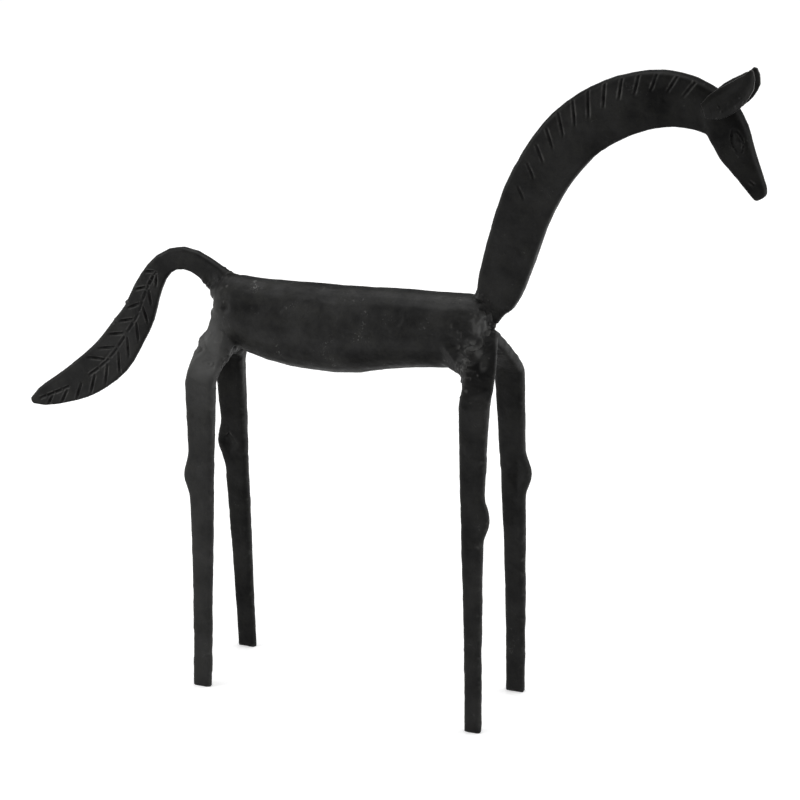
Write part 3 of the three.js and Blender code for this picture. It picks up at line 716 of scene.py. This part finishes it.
def blackened_iron(name, warmth, sheen, reflection_and_shade, span=(-0.3, 0.3), pale=1.0, flecks=0.12):
    """Waxed black forge scale: mottled black and olive grey, grey on edges from wear and as
    painted highlight. The two levels of `reflection_and_shade` set how strongly the iron reflects,
    a painted shade that differs between pieces, and are reached at the two places of `span` along
    the horse. `pale` lightens the grey of the mottling, and `flecks` is how bright its small
    flecks are."""
    material = bpy.data.materials.new(name)
    material.use_nodes = True
    tree = material.node_tree
    shader = next(n for n in tree.nodes if n.type == "BSDF_PRINCIPLED")
    place = node_of(tree, "ShaderNodeTexCoord").outputs["Object"]

    def attribute(label):
        made = node_of(tree, "ShaderNodeAttribute")
        made.attribute_name = label
        return made.outputs["Fac"]

    edge, hollow, weld = attribute("edge"), attribute("hollow"), attribute("weld")
    painted_shade, painted_highlight_mask = attribute("painted_shade"), attribute("painted_highlight")
    clouds = noise_node(tree, place, 38, 5, 0.6)
    blotches = noise_node(tree, place, 130, 4, 0.62)
    grain = noise_node(tree, place, 900, 3, 0.6)
    fine = noise_node(tree, place, 2600, 2, 0.55)

    slate = tuple(channel * pale for channel in SLATE)
    colour = mixed(tree, ramp(tree, clouds, 0.36, 0.64, 0, 1), COAL, slate)
    colour = mixed(tree, ramp(tree, blotches, 0.5, 0.72, 0, 0.6 * warmth), colour, OLIVE)
    colour = mixed(tree, ramp(tree, grain, 0.56, 0.75, 0, 0.5), colour, SOOT)
    colour = mixed(tree, ramp(tree, hollow, 0.1, 0.8, 0, 0.85), colour, COAL)
    clusters = ramp(tree, noise_node(tree, place, 75, 2, 0.5), 0.56, 0.68, 0, 1)
    specks = ramp(tree, noise_node(tree, place, 480, 3, 0.5, 1.2), 0.61, 0.70, 0, flecks)
    specks = maths(tree, "MULTIPLY", clusters, specks)
    colour = mixed(tree, specks, colour, FLECK)
    colour = mixed(tree, maths(tree, "MULTIPLY", weld, 0.3), colour, WELD_GREY)
    # Painted highlight: the hip, the hind legs and the chest weld turned pale grey.
    bright = maths(tree, "MULTIPLY", painted_highlight_mask, ramp(tree, clouds, 0.3, 0.6, 0.75, 1))
    colour = mixed(tree, bright, colour, PAINTED_HIGHLIGHT_GREY)
    # Grey edges, partly wear and partly painted highlight.
    rubbed_and_highlit = maths(tree, "MULTIPLY", edge, ramp(tree, blotches, 0.42, 0.62, 0.25, 1))
    colour = mixed(tree, maths(tree, "MULTIPLY", rubbed_and_highlit, 0.8), colour, WEAR_AND_HIGHLIGHT_GREY)
    link(tree, colour, shader.inputs["Base Color"])

    bare = maths(tree, "MULTIPLY", ramp(tree, rubbed_and_highlit, 0.55, 0.95, 0, 1), 0.5)
    link(tree, bare, shader.inputs["Metallic"])
    dullness = ramp(tree, blotches, 0.35, 0.7, 0.42 - sheen, 0.60 - sheen)
    dullness = maths(tree, "ADD", dullness, ramp(tree, grain, 0.4, 0.7, -0.03, 0.06))
    dullness = maths(tree, "SUBTRACT", dullness, maths(tree, "MULTIPLY", edge, 0.10))
    link(tree, dullness, shader.inputs["Roughness"])
    split_place = node_of(tree, "ShaderNodeSeparateXYZ")
    link(tree, place, split_place.inputs[0])
    # How strongly the iron reflects, set per piece and along the horse as painted shade.
    level = ramp(tree, split_place.outputs["X"], *span, *reflection_and_shade)
    # Painted shade: undersides and the inner faces of the hind legs reflect less.
    level = maths(tree, "MULTIPLY", level, ramp(tree, painted_shade, 0, 1, 1, 0.3))
    link(tree, level, shader.inputs["Specular IOR Level"])

    relief = maths(tree, "MULTIPLY", blotches, 0.5)
    relief = maths(tree, "ADD", relief, maths(tree, "MULTIPLY", grain, 0.32))
    relief = maths(tree, "ADD", relief, maths(tree, "MULTIPLY", fine, 0.12))
    bump = node_of(tree, "ShaderNodeBump")
    bump.inputs["Strength"].default_value = 0.5
    bump.inputs["Distance"].default_value = 0.0004
    link(tree, relief, bump.inputs["Height"])
    link(tree, bump.outputs["Normal"], shader.inputs["Normal"])
    return material


# Each piece reflects at its own level, and the neck reflects less towards the head: painted shade.
finishes = {
    "body": blackened_iron(
        "iron_body", 1.0, 0.02, (0.125, 0.18), span=(-0.1, 0.0), pale=1.6, flecks=0.5
    ),
    "neck_and_head": blackened_iron("iron_neck", 0.7, 0.03, (0.155, 0.06), span=(0.06, 0.21)),
    "ear_left": blackened_iron("iron_ear_left", 0.7, 0.05, (0.13, 0.13)),
    "ear_right": blackened_iron("iron_ear_right", 0.7, 0.05, (0.13, 0.13)),
    "tail": blackened_iron("iron_tail", 1.0, 0.04, (0.16, 0.14), span=(-0.24, -0.1)),
    "fore_legs": blackened_iron("iron_fore_legs", 0.7, 0.0, (0.13, 0.13)),
    "hind_legs": blackened_iron("iron_hind_legs", 0.8, 0.0, (0.12, 0.12)),
}
for name, piece in horse.items():
    piece.data.materials.clear()
    piece.data.materials.append(finishes[name])

# Floor, light and camera.

FLOOR = 12.0  # from the middle to each side
floor_mesh = bpy.data.meshes.new("floor")
floor_corners = [(-FLOOR, -FLOOR, 0), (FLOOR, -FLOOR, 0), (FLOOR, FLOOR, 0), (-FLOOR, FLOOR, 0)]
floor_mesh.from_pydata(floor_corners, [], [(0, 1, 2, 3)])
floor = bpy.data.objects.new("floor", floor_mesh)
bpy.context.scene.collection.objects.link(floor)
paper = bpy.data.materials.new("pale_floor")
paper.use_nodes = True
paper_shader = next(n for n in paper.node_tree.nodes if n.type == "BSDF_PRINCIPLED")
paper_shader.inputs["Base Color"].default_value = (0.92, 0.92, 0.92, 1)
paper_shader.inputs["Roughness"].default_value = 0.9
paper_shader.inputs["Emission Color"].default_value = (1, 1, 1, 1)
paper_shader.inputs["Emission Strength"].default_value = 0.22
floor_mesh.materials.append(paper)

# The room is lit more from the front than from the back, and is plain white to the camera.
FRONT_LIGHT, BACK_LIGHT = 0.34, 0.12
world = bpy.data.worlds.new("studio")
bpy.context.scene.world = world
world.use_nodes = True
sky = world.node_tree
background = next(n for n in sky.nodes if n.type == "BACKGROUND")
direction = node_of(sky, "ShaderNodeTexCoord").outputs["Generated"]
split = node_of(sky, "ShaderNodeSeparateXYZ")
link(sky, direction, split.inputs[0])
front_to_back = ramp(sky, split.outputs["Y"], -0.7, 0.6, FRONT_LIGHT, BACK_LIGHT)
seen = node_of(sky, "ShaderNodeLightPath").outputs["Is Camera Ray"]
backdrop = node_of(sky, "ShaderNodeMix", data_type="FLOAT")
link(sky, seen, backdrop.inputs[0])
link(sky, front_to_back, backdrop.inputs[2])
backdrop.inputs[3].default_value = 1.0
link(sky, backdrop.outputs[0], background.inputs["Strength"])
background.inputs["Color"].default_value = (1, 1, 1, 1)


def softbox(name, place, aim, size, power):
    lamp = bpy.data.lights.new(name, "AREA")
    lamp.shape = "RECTANGLE"
    lamp.size, lamp.size_y = size
    lamp.energy = power
    made = bpy.data.objects.new(name, lamp)
    made.location = place
    made.rotation_mode = "QUATERNION"
    made.rotation_quaternion = (Vector(aim) - Vector(place)).to_track_quat("-Z", "Y")
    bpy.context.scene.collection.objects.link(made)


softbox("top", (0.0, 0.4, 2.6), (0.0, 0.1, 0.2), (3.4, 3.4), 78)
softbox("left", (-1.5, -0.7, 0.75), (0.0, 0.0, 0.2), (1.2, 1.0), 14)
softbox("right", (1.7, 0.8, 0.8), (0.0, 0.0, 0.2), (0.9, 1.3), 12)

AIM = Vector((0.0123, 0.0, 0.19302))
TOWARDS_CAMERA = Vector((0.3611, -0.8675, 0.3420))
CAMERA_DISTANCE = 2.4
lens = bpy.data.cameras.new("camera")
lens.lens = 180
lens.sensor_width = 36
lens.clip_end = 50
camera = bpy.data.objects.new("camera", lens)
camera.location = AIM + TOWARDS_CAMERA * CAMERA_DISTANCE
camera.rotation_mode = "QUATERNION"
camera.rotation_quaternion = (-TOWARDS_CAMERA).to_track_quat("-Z", "Y")
bpy.context.scene.collection.objects.link(camera)
bpy.context.scene.camera = camera
bpy.context.scene.view_settings.view_transform = "Standard"

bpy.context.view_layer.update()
for piece in horse.values():
    print(piece.name, sum(len(p.vertices) - 2 for p in piece.data.polygons), "triangles")
